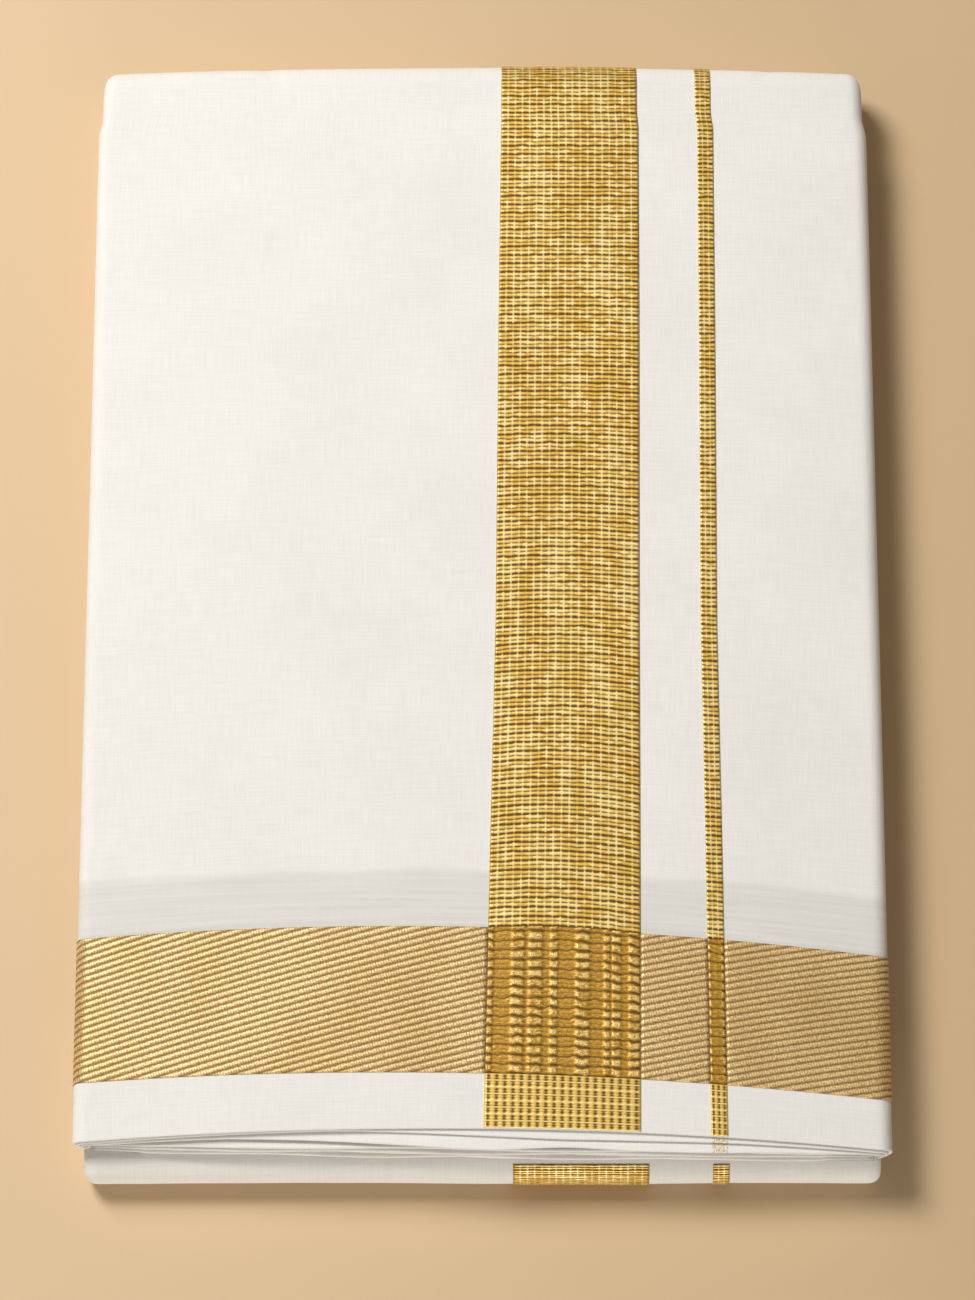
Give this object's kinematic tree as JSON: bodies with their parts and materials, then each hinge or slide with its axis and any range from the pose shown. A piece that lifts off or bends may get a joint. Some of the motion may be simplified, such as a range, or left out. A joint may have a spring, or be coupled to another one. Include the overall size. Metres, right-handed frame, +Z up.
{
  "type": "folded dhoti cloth",
  "caption": "Long white cotton dhoti with gold zari borders and a gold end band, folded into a flat rectangular packet that rests on a surface.",
  "frame": {"origin": "centre of the packet's outline at the surface it rests on", "axes": "+Y along the packet from the open end to the back fold, +X across it towards the narrow stripe's side, +Z up"},
  "size_m": [0.2682, 0.3996, 0.0293],
  "materials": {
    "cotton": "plain-woven fine cotton, pressed, warm white, matte",
    "inner_cotton": "the same cotton seen at its folded layer edges",
    "zari_grid": "gold zari ribs in an open square check, satin sheen",
    "zari_twill": "gold zari twill, fine slanting ribs, satin sheen",
    "zari_crossing": "dense gold zari where weft band and warp border cross"
  },
  "bodies": {
    "root": {"outer_wrap": "cotton", "second_leaf": "cotton", "third_leaf": "cotton", "lower_fold": "cotton", "hidden_layers": "inner_cotton", "wide_border": "zari_grid", "narrow_stripe": "zari_grid", "border_crossing": "zari_crossing", "stripe_crossing": "zari_crossing", "border_hem": "zari_grid", "stripe_hem": "zari_grid", "end_band_left": "zari_twill", "end_band_middle": "zari_twill", "end_band_right": "zari_twill", "lower_fold_border": "zari_grid", "lower_fold_stripe": "zari_grid"}
  },
  "joints": []
}
